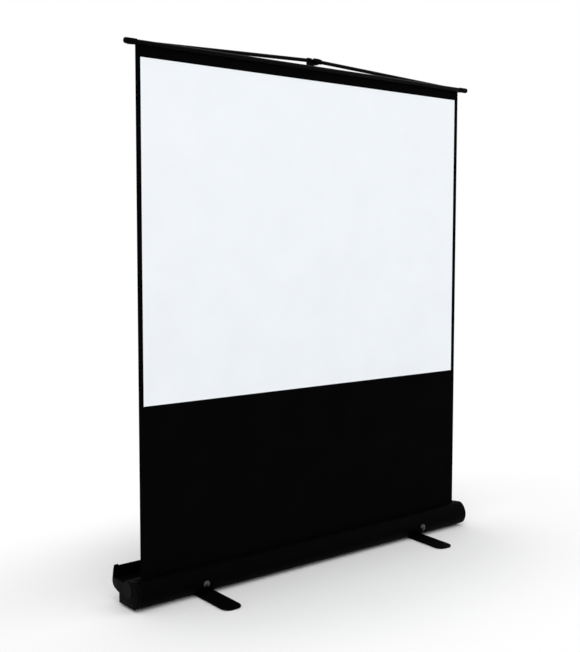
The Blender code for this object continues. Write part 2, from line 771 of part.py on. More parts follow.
def build_mast():
    base_bore = BASE_RADIUS - BASE_WALL
    middle_bore = MIDDLE_RADIUS - MIDDLE_WALL
    on_mast("mast_base_tube", BASE_RADIUS, base_bore, TUBE_START, BASE_TOP)
    on_mast("mast_middle_tube", MIDDLE_RADIUS, middle_bore, MIDDLE_BOTTOM, MIDDLE_TOP)
    on_mast("mast_upper_tube", UPPER_RADIUS, UPPER_RADIUS - UPPER_WALL, UPPER_BOTTOM, UPPER_TOP)
    build_guide("middle_guide", base_bore, middle_bore, MIDDLE_BOTTOM)
    build_guide("upper_guide", middle_bore, UPPER_RADIUS - UPPER_WALL, UPPER_BOTTOM)
    build_clamp("lower", BASE_RADIUS, MIDDLE_RADIUS, BASE_TOP)
    build_clamp("upper", MIDDLE_RADIUS, UPPER_RADIUS, MIDDLE_TOP)
    build_knuckle(base_bore)
    build_mast_head()


def on_mast(name, outer, inner, bottom, top):
    return put(ring(name, outer, inner, bottom, top, FINE_SIDES), parent=mast_axis)


def build_guide(name, outer_bore, own_bore, tube_bottom):
    """The plug on a sliding tube's lower end, which runs in the tube outside it."""
    top = tube_bottom - CLEARANCE
    guide = turned(
        name,
        [
            (own_bore - CLEARANCE, top + GUIDE_SPIGOT),
            (own_bore - CLEARANCE, top),
            (outer_bore - CLEARANCE, top),
            (outer_bore - CLEARANCE, top - GUIDE_LENGTH),
            (GUIDE_BORE, top - GUIDE_LENGTH),
            (GUIDE_BORE, top + GUIDE_SPIGOT),
        ],
    )
    put(guide, parent=mast_axis)


def build_clamp(word, tube_radius, next_radius, tube_top):
    """A collar over a tube's upper end, with a lever that wraps round it from its hinge ears."""
    top = tube_top + COLLAR_GRIP
    bottom = tube_top - COLLAR_GRIP
    outer = tube_radius + CLEARANCE + COLLAR_WALL
    lower_bore = tube_radius + CLEARANCE
    upper_bore = next_radius + CLEARANCE
    collar = turned(
        word + "_collar",
        [
            (outer - COLLAR_EDGE, top),
            (outer, top - COLLAR_EDGE),
            (outer, bottom + COLLAR_EDGE),
            (outer - COLLAR_EDGE, bottom),
            (lower_bore, bottom),
            (lower_bore, tube_top + CLEARANCE),
            (upper_bore, tube_top + CLEARANCE),
            (upper_bore, top),
        ],
        FINE_SIDES,
    )
    put(collar, parent=mast_axis)
    ear_distance = outer + EAR_REACH
    pin_x = ear_distance * math.cos(EAR_ANGLE)
    pin_y = ear_distance * math.sin(EAR_ANGLE)
    ear = cylinder(word + "_ear", EAR_RADIUS, 2 * COLLAR_GRIP, SMALL_SIDES)
    join(collar, put(ear, (pin_x, pin_y, tube_top), parent=mast_axis))
    gap_height = LEVER_HEIGHT + 2 * CLEARANCE
    gap = cylinder(word + "_ear_gap", EAR_RADIUS + CLEARANCE, gap_height, SMALL_SIDES)
    cut(collar, put(gap, (pin_x, pin_y, tube_top), parent=mast_axis))
    pin_length = 2 * COLLAR_GRIP
    bore_radius = LEVER_PIN_RADIUS + CLEARANCE
    pin_bore = cylinder(word + "_pin_bore", bore_radius, pin_length + 2 * OVERRUN, SMALL_SIDES)
    cut(collar, put(pin_bore, (pin_x, pin_y, tube_top), parent=mast_axis))
    pin = cylinder(word + "_lever_pin", LEVER_PIN_RADIUS, pin_length, SMALL_SIDES)
    put(pin, (pin_x, pin_y, tube_top), parent=mast_axis)

    inner = outer + LEVER_PLAY
    centre = (-pin_x, -pin_y)
    band = arc(centre, inner, LEVER_TIP_ANGLE, EAR_ANGLE)
    band += arc(centre, inner + LEVER_THICKNESS, EAR_ANGLE, LEVER_TIP_ANGLE)
    lever = plate(word + "_lever", band, LEVER_HEIGHT)
    put(lever, (pin_x, pin_y, tube_top), parent=mast_axis)
    knuckle = cylinder(word + "_lever_knuckle", EAR_RADIUS, LEVER_HEIGHT, SMALL_SIDES)
    join(lever, put(knuckle, (pin_x, pin_y, tube_top), parent=mast_axis))
    lever_bore = cylinder(word + "_lever_bore", bore_radius, pin_length, SMALL_SIDES)
    cut(lever, put(lever_bore, (pin_x, pin_y, tube_top), parent=mast_axis))


def build_knuckle(base_bore):
    """The foot of the mast: a round-ended tongue between the bracket's cheeks, with a spigot."""
    shoulder = TUBE_START - CLEARANCE
    tongue = [
        (KNUCKLE_RADIUS, shoulder),
        (-KNUCKLE_RADIUS, shoulder),
        *arc((0, 0), KNUCKLE_RADIUS, math.pi, math.tau),
    ]
    knuckle = put(plate("mast_knuckle", tongue, KNUCKLE_THICKNESS), (0, 0, 0), UPRIGHT, mast_axis)
    spigot_length = KNUCKLE_SPIGOT + OVERRUN
    spigot = cylinder("knuckle_spigot", base_bore - CLEARANCE, spigot_length)
    spigot_middle = TUBE_START + KNUCKLE_SPIGOT - spigot_length / 2
    join(knuckle, put(spigot, (0, 0, spigot_middle), parent=mast_axis))
    bore = cylinder("knuckle_bore", PIN_RADIUS + CLEARANCE, 2 * KNUCKLE_THICKNESS)
    cut(knuckle, put(bore, (0, 0, 0), ALONG_Y, mast_axis))


def build_mast_head():
    """The head over the mast's top: a socket and a hook that runs forward under the yoke."""
    seat_radius = YOKE_RADIUS + CLEARANCE
    seat = (-HOOK_REACH, HOOK_STATION)
    front = seat[0] - seat_radius - HOOK_WALL
    underside = seat[1] - seat_radius - HOOK_FLOOR
    rear_top = seat[1] + HOOK_REAR_RISE
    tip = seat[1] + HOOK_TIP
    profile = [
        (front, tip),
        (front, underside + HOOK_CHAMFER),
        (front + HOOK_CHAMFER, underside),
        (0, underside),
        (0, rear_top),
        (seat[0] + seat_radius, rear_top),
        *arc(seat, seat_radius, 0, -math.pi),
        (seat[0] - seat_radius, tip),
    ]
    socket_radius = UPPER_RADIUS + CLEARANCE + HEAD_WALL
    head = turned(
        "mast_head",
        [
            (0, rear_top),
            (socket_radius - HOOK_EDGE, rear_top),
            (socket_radius, rear_top - HOOK_EDGE),
            (socket_radius, HEAD_BOTTOM + HOOK_EDGE),
            (socket_radius - HOOK_EDGE, HEAD_BOTTOM),
            (0, HEAD_BOTTOM),
        ],
        FINE_SIDES,
    )
    put(head, parent=mast_axis)
    hook = bevel(plate("hook_arm", profile, HEAD_WIDTH), HOOK_EDGE)
    join(head, put(hook, (0, 0, 0), SECTION, mast_axis))
    bore_length = UPPER_TOP + CLEARANCE - HEAD_BOTTOM + OVERRUN
    bore = cylinder("head_bore", UPPER_RADIUS + CLEARANCE, bore_length, FINE_SIDES)
    bore_middle = UPPER_TOP + CLEARANCE - bore_length / 2
    cut(head, put(bore, (0, 0, bore_middle), parent=mast_axis))


def rod_direction(side):
    inner = Vector((side * ROD_INNER_X, YOKE_Y, YOKE_Z))
    outer = Vector((side * ROD_OUTER_X, ROD_OUTER_Y, ROD_OUTER_Z))
    return inner, outer, (outer - inner).normalized()


def build_hanger():
    neck = YOKE_NECK_LENGTH / 2
    end = YOKE_HALF_LENGTH
    yoke = turned(
        "hanger_yoke",
        [
            (0, end),
            (YOKE_SOCKET_RADIUS - YOKE_EDGE, end),
            (YOKE_SOCKET_RADIUS, end - YOKE_EDGE),
            (YOKE_SOCKET_RADIUS, neck + YOKE_EDGE),
            (YOKE_RADIUS, neck),
            (YOKE_RADIUS, -neck),
            (YOKE_SOCKET_RADIUS, -neck - YOKE_EDGE),
            (YOKE_SOCKET_RADIUS, -end + YOKE_EDGE),
            (YOKE_SOCKET_RADIUS - YOKE_EDGE, -end),
            (0, -end),
        ],
    )
    put(yoke, (0, YOKE_Y, YOKE_Z), ALONG_X)
    for side, word in SIDE_NAMES.items():
        inner, outer, along = rod_direction(side)
        rod("hanger_rod_" + word, inner, outer, ROD_RADIUS)
        bore_start = inner - along * CLEARANCE
        bore_end = inner + along * (YOKE_HALF_LENGTH + OVERRUN - ROD_INNER_X)
        bore = rod("yoke_bore_" + word, bore_start, bore_end, ROD_RADIUS + CLEARANCE)
        cut(yoke, bore)


def build_bar_end(side, word):
    start = BAR_HALF_LENGTH - BAR_END_LENGTH
    waist = BAR_END_RADIUS - BAR_END_NOSE / 2
    end = turned(
        "bar_end_" + word,
        [
            (0, BAR_HALF_LENGTH),
            (waist, BAR_HALF_LENGTH),
            (BAR_END_RADIUS - BAR_END_NOSE / 6, BAR_HALF_LENGTH - BAR_END_NOSE / 3),
            (BAR_END_RADIUS, BAR_HALF_LENGTH - BAR_END_NOSE),
            (BAR_END_RADIUS, start),
            (0, start),
        ],
    )
    put(end, (0, BAR_Y, BAR_Z), (0, side * QUARTER, 0))
    _, outer, along = rod_direction(side)
    lug_end = outer + along * LUG_WEB_LENGTH / 4
    lug = rod("lug_" + word, lug_end - along * LUG_LENGTH, lug_end, LUG_RADIUS)
    join(end, lug)
    web_x = BAR_HALF_LENGTH - BAR_END_LENGTH + LUG_WEB_LENGTH / 2
    web = box("lug_web_" + word, (LUG_WEB_LENGTH, ROD_OUTER_Y - BAR_Y, LUG_WEB_HEIGHT))
    join(end, put(web, (side * web_x, (ROD_OUTER_Y + BAR_Y) / 2, (ROD_OUTER_Z + BAR_Z) / 2)))
    bore_length = BAR_END_LENGTH - BAR_END_WALL + OVERRUN
    bar_bore = cylinder("bar_bore_" + word, BAR_RADIUS + CLEARANCE, bore_length)
    bore_middle = BAR_HALF_LENGTH - BAR_END_WALL - bore_length / 2
    cut(end, put(bar_bore, (side * bore_middle, BAR_Y, BAR_Z), ALONG_X))
    bore_start = outer - along * (LUG_LENGTH + OVERRUN)
    cut(end, rod("rod_bore_" + word, bore_start, outer + along * CLEARANCE, ROD_RADIUS + CLEARANCE))


def build_top_bar():
    half = BAR_HALF_LENGTH - BAR_END_WALL - CLEARANCE
    bar = ring("top_bar", BAR_RADIUS, BAR_RADIUS - BAR_WALL, -half, half)
    put(bar, (0, BAR_Y, BAR_Z), ALONG_X)
    for side, word in SIDE_NAMES.items():
        build_bar_end(side, word)
    build_hanger()
    sheet = box("screen_fabric", (FABRIC_WIDTH, FABRIC_THICKNESS, FABRIC_TOP - ROLLER_Z))
    put(sheet, (0, FABRIC_Y, (FABRIC_TOP + ROLLER_Z) / 2))


MATERIAL_OF = {
    "housing": "black_coat",
    "mast_bracket": "black_coat",
    "mast_hinge_pin": "steel",
    "mast_rest": "black_plastic",
    "roller_tube": "steel",
    "fabric_roll": "screen_fabric",
    "idle_plug": "nylon",
    "spring_plug": "nylon",
    "shaft_bush": "nylon",
    "spring_shaft": "steel",
    "torsion_spring": "steel",
    "idle_bearing": "nylon",
    "spring_bearing": "nylon",
    "mast_base_tube": "black_tube",
    "mast_middle_tube": "black_tube",
    "mast_upper_tube": "black_tube",
    "middle_guide": "nylon",
    "upper_guide": "nylon",
    "lower_collar": "black_plastic",
    "upper_collar": "black_plastic",
    "lower_lever": "black_plastic",
    "upper_lever": "black_plastic",
    "lower_lever_pin": "steel",
    "upper_lever_pin": "steel",
    "mast_knuckle": "black_plastic",
    "mast_head": "black_coat",
    "hanger_yoke": "black_coat",
    "top_bar": "black_tube",
    "screen_fabric": "screen_fabric",
}
PAIRED_MATERIAL_OF = {
    "end_cap": "black_plastic",
    "axle_cover": "black_plastic",
    "foot_bar": "black_coat",
    "foot_bolt": "steel",
    "foot_nut": "steel",
    "foot_washer": "nylon",
    "foot_button": "grey_button",
    "button_guide": "steel",
    "hanger_rod": "black_tube",
    "bar_end": "black_plastic",
}


for old in list(bpy.data.objects):
    bpy.data.objects.remove(old)
parts = make_collection("projection_screen")
cutters = make_collection("cutters")
cutters.hide_render = True
materials = {name: make_material(name) for name in FINISHES}
mast_axis = empty("mast_axis", (0, HINGE_Y, HINGE_Z), (MAST_LEAN, 0, 0))

build_casing()
build_roller()
build_mast()
build_top_bar()
for foot_side, foot_word in SIDE_NAMES.items():
    build_foot(foot_side, foot_word)
    build_button(foot_side, foot_word)
    for piece, finish_word in PAIRED_MATERIAL_OF.items():
        MATERIAL_OF[f"{piece}_{foot_word}"] = finish_word
    for pad_end in ("front", "rear"):
        MATERIAL_OF[f"foot_pad_{foot_word}_{pad_end}"] = "rubber"
finish(MATERIAL_OF)
print(f"The top bar travels {BAR_TRAVEL:.4f} m, and each mast stage {STAGE_TRAVEL:.4f} m")
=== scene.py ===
"""Looks of a pull up projection screen: a matte cloth on a top bar, a black casing on two
swivelling feet, and a telescopic mast behind the cloth. Lengths are in metres, in the frame of
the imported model. The sizes of textures are in millimetres.
"""

import math

import bmesh
import bpy
import numpy as np
from mathutils import Matrix, Vector


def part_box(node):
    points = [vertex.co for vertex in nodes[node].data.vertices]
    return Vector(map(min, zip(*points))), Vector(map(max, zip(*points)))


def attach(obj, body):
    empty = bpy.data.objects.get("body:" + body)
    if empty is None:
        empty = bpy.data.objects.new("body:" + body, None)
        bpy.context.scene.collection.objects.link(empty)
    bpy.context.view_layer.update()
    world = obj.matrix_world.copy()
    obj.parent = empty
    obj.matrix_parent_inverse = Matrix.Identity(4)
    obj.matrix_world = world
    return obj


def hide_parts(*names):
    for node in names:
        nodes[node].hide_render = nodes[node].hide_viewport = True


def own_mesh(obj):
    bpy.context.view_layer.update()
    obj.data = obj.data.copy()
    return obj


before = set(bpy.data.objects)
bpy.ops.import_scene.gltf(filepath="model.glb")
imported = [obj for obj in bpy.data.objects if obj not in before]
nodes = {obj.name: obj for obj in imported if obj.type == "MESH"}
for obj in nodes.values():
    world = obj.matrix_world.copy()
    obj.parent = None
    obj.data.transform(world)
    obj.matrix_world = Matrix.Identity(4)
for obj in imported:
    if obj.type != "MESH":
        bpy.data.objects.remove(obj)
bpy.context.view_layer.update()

scene = bpy.context.scene

# Camera: where the photograph was taken from, and its frame in pixels
PHOTO_WIDTH = 580
PHOTO_HEIGHT = 652
CAMERA_PLACE = (-2.5734, -2.9820, 1.2848)
CAMERA_YAW = math.radians(39.383)
CAMERA_PITCH = math.radians(4.344)
CAMERA_ROLL = math.radians(0.063)
FOCAL_PIXELS = 987.2
CENTRE_PIXEL = (288.3, 318.34)
SENSOR = 36.0

# Light: the daylight that falls on things is a little weaker than the white seen behind them
DAYLIGHT_SHARE = 0.845
BACKGROUND_SHARE = 1.0
KEY_PLACE = (-1.8, -2.4, 5.4)
KEY_AIM = (0, -0.3, 0.6)
KEY_POWER = 48.0
KEY_SIZE = 2.6
FILL_PLACE = (3.2, -2.6, 2.6)
FILL_AIM = (0, 0, 0.8)
FILL_POWER = 12.0
FILL_SIZE = 3.2

# Floor: it fades into the white background between two distances from the middle of the
# screen, which count for half as much along the casing
FLOOR_SIZE = 60.0
FLOOR_NEAR = 0.45
FLOOR_FAR = 1.15
FLOOR_LENGTHWISE = 0.5

# Textures: the middle range of a noise, the angles between the eased and the plain normal
# where rubbing starts and is full, as cosines, and the wave texture's bands at a scale of one
NOISE_LOW = 0.3
NOISE_HIGH = 0.7
RUB_START = 0.97
RUB_FULL = 0.82
RUB_PATCH = 14.0
WEAVE_SIZE = 4.75
WAVE_BANDS = 20 / (2 * math.pi)
ALONG_X = (0.02, 1, 1)
ALONG_Z = (1, 1, 0.02)

# Cloth
CLOTH_THICKNESS = 0.00035
SIDE_BORDER = 0.020
PICTURE_BOTTOM = 0.716
PICTURE_TOP = 1.916
CLOTH_STEP = 0.018
WAVE_HEIGHT = 0.0007
WAVE_LENGTH = 0.41
WAVE_LEAN = 2.2
HEM_THICKNESS = 0.0002
HEM_GAP = 0.00008
HEM_LIP = 0.004
HEM_FOLD_POINTS = 9
WOUND_PITCH = 0.00045
WOUND_STEP = math.radians(10)

# Small parts
SHARP_ANGLE = math.radians(40)
WELD = 0.00001
HEAD_WELD = 0.000001
HEAD_SEGMENTS = 24
HEAD_RINGS = 14
HEAD_FLATNESS = 1.35
RECESS_LENGTH = 1.1
RECESS_WIDTH = 0.3
RIVET_RADIUS = 0.0028
RIVET_HEIGHT = 0.0012
RIVET_COUNT = 12
SCREW_RADIUS = 0.0034
SCREW_HEIGHT = 0.0018
SCREW_RECESS = 0.0009
CAP_SCREWS = ((-0.036, 0.021), (0.038, 0.021), (0.066, 0.074))
PLATE_SCREW_RADIUS = 0.003
PLATE_SCREW_HEIGHT = 0.0013
PLATE_SCREW_INSET = 0.0045
PLATE_THICKNESS = 0.003
WIRE_RADIUS = 0.0008
WIRE_SIDES = 8
COIL_PITCH = 0.0031
COIL_STEPS = 16
SEED = 11


# --- Nodes ---


def add(tree, kind, wires=None, **settings):
    """Adds a node with its settings, and links or sets its inputs by name or by place."""
    made = tree.nodes.new(kind)
    for name, value in settings.items():
        setattr(made, name, value)
    for key, value in (wires or {}).items():
        if isinstance(value, bpy.types.NodeSocket):
            tree.links.new(value, made.inputs[key])
        else:
            made.inputs[key].default_value = value
    return made


def times(tree, first, second):
    """The product of two values, either of which may be a socket."""
    return add(tree, "ShaderNodeMath", {0: first, 1: second}, operation="MULTIPLY").outputs[0]


def vector(tree, **parts):
    """A vector of the given X, Y and Z, with zero for what isn't given."""
    return add(tree, "ShaderNodeCombineXYZ", parts).outputs[0]


def feed(tree, shader, wires):
    """Links sockets to a shader's inputs by name."""
    for name, value in wires.items():
        tree.links.new(value, shader.inputs[name])


def colour(code):
    """Turns an sRGB hex value into linear red, green, blue and a full alpha."""
    shares = [int(code[place : place + 2], 16) / 255 for place in (1, 3, 5)]
    linear = [s / 12.92 if s <= 0.04045 else ((s + 0.055) / 1.055) ** 2.4 for s in shares]
    return (*linear, 1.0)


def per(millimetres):
    """The scale of a texture that repeats at this size on Object coordinates."""
    return 1000 / millimetres


# --- Materials ---


def start(name, roughness, metallic=0.0, specular=0.5):
    """A new material with its tree, its shader and its Object coordinates."""
    material = bpy.data.materials.new(name)
    material.use_nodes = True
    tree = material.node_tree
    shader = tree.nodes["Principled BSDF"]
    shader.inputs["Roughness"].default_value = roughness
    shader.inputs["Metallic"].default_value = metallic
    shader.inputs["Specular IOR Level"].default_value = specular
    place = add(tree, "ShaderNodeTexCoord").outputs["Object"]
    return material, tree, shader, place


def noise(tree, place, size, detail=2.0, stretch=(1, 1, 1)):
    """A noise of this size, drawn out along the axes where stretch is below one."""
    scaled = add(tree, "ShaderNodeMapping", {"Vector": place, "Scale": stretch}).outputs["Vector"]
    wires = {"Vector": scaled, "Scale": per(size), "Detail": detail}
    return add(tree, "ShaderNodeTexNoise", wires).outputs["Fac"]


def between(tree, share, low=0.0, high=1.0):
    """Stretches a noise's middle range to run from low to high."""
    wires = {
        "Value": share,
        "From Min": NOISE_LOW,
        "From Max": NOISE_HIGH,
        "To Min": low,
        "To Max": high,
    }
    return add(tree, "ShaderNodeMapRange", wires).outputs["Result"]


def blend_colours(tree, share, first, second):
    """Goes from the first colour to the second by a share; each is a hex value or a socket."""
    mix = add(tree, "ShaderNodeMix", {0: share}, data_type="RGBA")
    for place, value in ((6, first), (7, second)):
        if isinstance(value, str):
            mix.inputs[place].default_value = colour(value)
        else:
            tree.links.new(value, mix.inputs[place])
    return mix.outputs[2]


def mottle(tree, cloud, pair):
    """Lets a noise choose between the two colours of a pair."""
    return blend_colours(tree, between(tree, cloud), *pair)


def relief(tree, shader, height, depth):
    """Raises the surface by depth metres times the height, through the shader's normal."""
    bump = add(tree, "ShaderNodeBump", {"Height": height, "Distance": depth, "Strength": 1.0})
    feed(tree, shader, {"Normal": bump.outputs["Normal"]})


def worn_edges(tree, place, radius):
    """A share that is one on convex corners where handling rubs them, broken up by a noise."""
    eased = add(tree, "ShaderNodeBevel", {"Radius": radius}, samples=4).outputs["Normal"]
    plain = add(tree, "ShaderNodeNewGeometry").outputs["Normal"]
    wires = {0: eased, 1: plain}
    alike = add(tree, "ShaderNodeVectorMath", wires, operation="DOT_PRODUCT").outputs["Value"]
    wires = {"Value": alike, "From Min": RUB_START, "From Max": RUB_FULL}
    corner = add(tree, "ShaderNodeMapRange", wires).outputs["Result"]
    patches = between(tree, noise(tree, place, RUB_PATCH, detail=4.0))
    return times(tree, corner, patches)


def powder_coat(name, base, rubbed, roughness, specular):
    # Polyester powder baked on metal: satin black with a soft orange peel of about 3 mm, and
    # corners that handling has rubbed to a greyer black
    material, tree, shader, place = start(name, roughness, specular=specular)
    cloud = noise(tree, place, size=90.0, detail=3.0)
    rub = worn_edges(tree, place, radius=0.0012)
    body = blend_colours(tree, rub, mottle(tree, cloud, base), rubbed)
    sheen = between(tree, cloud, roughness - 0.05, roughness + 0.06)
    feed(tree, shader, {"Base Color": body, "Roughness": sheen})
    relief(tree, shader, noise(tree, place, size=3.0), depth=0.00006)
    return material


def anodised_tube(name, base, stretch, roughness, specular):
    # Drawn aluminium, dyed black in the anodising bath: fine die lines run along the tube, and
    # they are drawn 2 mm apart, coarser than real, so that they show
    material, tree, shader, place = start(name, roughness, metallic=0.35, specular=specular)
    lines = noise(tree, place, size=2.0, stretch=stretch)
    sheen = between(tree, lines, roughness - 0.03, roughness + 0.05)
    feed(tree, shader, {"Base Color": mottle(tree, lines, base), "Roughness": sheen})
    relief(tree, shader, lines, depth=0.00002)
    return material


def moulded_plastic(name, base, rubbed, roughness, specular):
    # ABS from a spark-eroded mould: an even black grain of about 1.2 mm, drawn coarser than the
    # real quarter of a millimetre so that it shows, with a slightly shinier bloom in places
    material, tree, shader, place = start(name, roughness, specular=specular)
    bloom = noise(tree, place, size=40.0)
    rub = worn_edges(tree, place, radius=0.001)
    body = blend_colours(tree, rub, mottle(tree, bloom, base), rubbed)
    sheen = between(tree, bloom, roughness - 0.07, roughness + 0.05)
    feed(tree, shader, {"Base Color": body, "Roughness": sheen})
    relief(tree, shader, noise(tree, place, size=1.2, detail=1.0), depth=0.00005)
    return material


def natural_nylon():
    # Turned nylon in its natural ivory: waxy, a little light goes in, faint turning rings
    material, tree, shader, place = start("natural_nylon", roughness=0.5)
    rings = noise(tree, place, size=1.0, stretch=(1, 0.1, 0.1))
    feed(tree, shader, {"Base Color": mottle(tree, rings, ("#c9c5b4", "#dad7c8"))})
    shader.inputs["Subsurface Weight"].default_value = 0.15
    shader.inputs["Subsurface Radius"].default_value = (0.001, 0.0009, 0.0007)
    relief(tree, shader, rings, depth=0.00003)
    return material


def zinc_steel(name, base, roughness):
    # Bright zinc plate on steel: a cool grey metal with cloudy patches some 6 mm wide
    material, tree, shader, place = start(name, roughness, metallic=1.0)
    cloud = noise(tree, place, size=6.0, detail=4.0)
    sheen = between(tree, cloud, roughness - 0.08, roughness + 0.1)
    feed(tree, shader, {"Base Color": mottle(tree, cloud, base), "Roughness": sheen})
    relief(tree, shader, noise(tree, place, size=0.8), depth=0.00001)
    return material


def satin_button():
    # Pressed steel cap in satin nickel: brushed round its dome, darker where fingers dull it
    material, tree, shader, place = start("satin_nickel_cap", roughness=0.36, metallic=1.0)
    brushed = noise(tree, place, size=0.9, detail=3.0, stretch=(1, 1, 0.15))
    dull = noise(tree, place, size=7.0)
    body = mottle(tree, dull, ("#3c3c3e", "#505052"))
    feed(tree, shader, {"Base Color": body, "Roughness": between(tree, brushed, 0.28, 0.46)})
    relief(tree, shader, brushed, depth=0.00002)
    return material


def moulded_rubber():
    # EPDM rubber: dull black with a dusty bloom and a fine moulded grain
    material, tree, shader, place = start("moulded_rubber", roughness=0.85, specular=0.3)
    dust = noise(tree, place, size=9.0, detail=5.0)
    feed(tree, shader, {"Base Color": mottle(tree, dust, ("#141414", "#232322"))})
    relief(tree, shader, noise(tree, place, size=0.9), depth=0.00006)
    return material


def coated_cloth(name, base, roughness, specular, depth):
    # Glass-fibre cloth coated with matt vinyl: the plain weave of half-millimetre threads shows
    # through the coating as a faint check, drawn nearly 5 mm wide so that it shows
    material, tree, shader, place = start(name, roughness, specular=specular)
    wires = {"Vector": place, "Scale": per(WEAVE_SIZE) / WAVE_BANDS, "Distortion": 0.4}
    warp = add(tree, "ShaderNodeTexWave", wires, bands_direction="X").outputs["Fac"]
    weft = add(tree, "ShaderNodeTexWave", wires, bands_direction="Z").outputs["Fac"]
    cloud = noise(tree, place, size=160.0, detail=3.0)
    feed(tree, shader, {"Base Color": mottle(tree, cloud, base)})
    relief(tree, shader, times(tree, warp, weft), depth)
    return material


casing_coat = powder_coat(
    "powder_coated_aluminium", ("#030303", "#040404"), "#101010", roughness=0.46, specular=0.01
)
foot_coat = powder_coat(
    "powder_coated_steel", ("#030303", "#050505"), "#111111", roughness=0.46, specular=0.025
)
bar_coat = anodised_tube(
    "black_anodised_bar", ("#040404", "#070707"), ALONG_X, roughness=0.42, specular=0.025
)
mast_coat = anodised_tube(
    "black_anodised_mast", ("#0c0c0e", "#151517"), ALONG_Z, roughness=0.32, specular=0.3
)
moulding = moulded_plastic(
    "moulded_abs", ("#040404", "#060606"), "#121212", roughness=0.5, specular=0.014
)
cover_plastic = moulded_plastic(
    "polished_abs_cover", ("#050505", "#080808"), "#141414", roughness=0.42, specular=0.02
)
nylon = natural_nylon()
zinc = zinc_steel("zinc_plated_steel", ("#8d9093", "#b1b4b7"), roughness=0.34)
spring_steel = zinc_steel("oiled_spring_steel", ("#55565a", "#77787c"), roughness=0.3)
black_steel = zinc_steel("blackened_steel", ("#141416", "#242427"), roughness=0.42)
button_cap = satin_button()
rubber = moulded_rubber()
picture_cloth = coated_cloth(
    "matt_white_vinyl_cloth", ("#eff3f7", "#f2f6fa"), roughness=0.9, specular=0.2, depth=0.00003
)
border_cloth = coated_cloth(
    "black_printed_vinyl_cloth",
    ("#040404", "#060606"),
    roughness=0.85,
    specular=0.01,
    depth=0.00003,
)
backing_cloth = coated_cloth(
    "black_backed_cloth", ("#121213", "#181819"), roughness=0.78, specular=0.12, depth=0.00005
)

FINISH_OF_SLOT = {
    "casing_coat": casing_coat,
    "foot_coat": foot_coat,
    "bar_coat": bar_coat,
    "mast_coat": mast_coat,
    "moulding": moulding,
    "nylon": nylon,
    "steel": zinc,
    "button": button_cap,
    "pad_rubber": rubber,
    "sheet": border_cloth,
}


# --- Geometry Nodes ---


def new_tree(name, lengths, painted=True):
    """An empty tree with a geometry in and out, float inputs of these names and, where it
    paints what it makes, a material input, with the sockets of its Group Input.
    """
    tree = bpy.data.node_groups.new(name, "GeometryNodeTree")
    tree.interface.new_socket("Geometry", in_out="OUTPUT", socket_type="NodeSocketGeometry")
    tree.interface.new_socket("Geometry", in_out="INPUT", socket_type="NodeSocketGeometry")
    for label in lengths:
        tree.interface.new_socket(label, in_out="INPUT", socket_type="NodeSocketFloat")
    if painted:
        tree.interface.new_socket("Material", in_out="INPUT", socket_type="NodeSocketMaterial")
    return tree, add(tree, "NodeGroupInput").outputs


def close_tree(tree, geometry, material):
    """Ends a tree in Realize Instances and Set Material."""
    real = add(tree, "GeometryNodeRealizeInstances", {"Geometry": geometry}).outputs["Geometry"]
    wires = {"Geometry": real, "Material": material}
    painted = add(tree, "GeometryNodeSetMaterial", wires).outputs["Geometry"]
    add(tree, "NodeGroupOutput", {"Geometry": painted})
    return tree


def stand_on_points(tree, points, shape):
    """Stands a shape on each point, with its Z along the point's facing attribute."""
    attribute = {"Name": "facing"}
    kind = "GeometryNodeInputNamedAttribute"
    facing = add(tree, kind, attribute, data_type="FLOAT_VECTOR").outputs[0]
    upright = add(tree, "FunctionNodeAlignRotationToVector", {"Vector": facing}, axis="Z")
    wires = {"Points": points, "Instance": shape, "Rotation": upright.outputs[0]}
    return add(tree, "GeometryNodeInstanceOnPoints", wires).outputs[0]


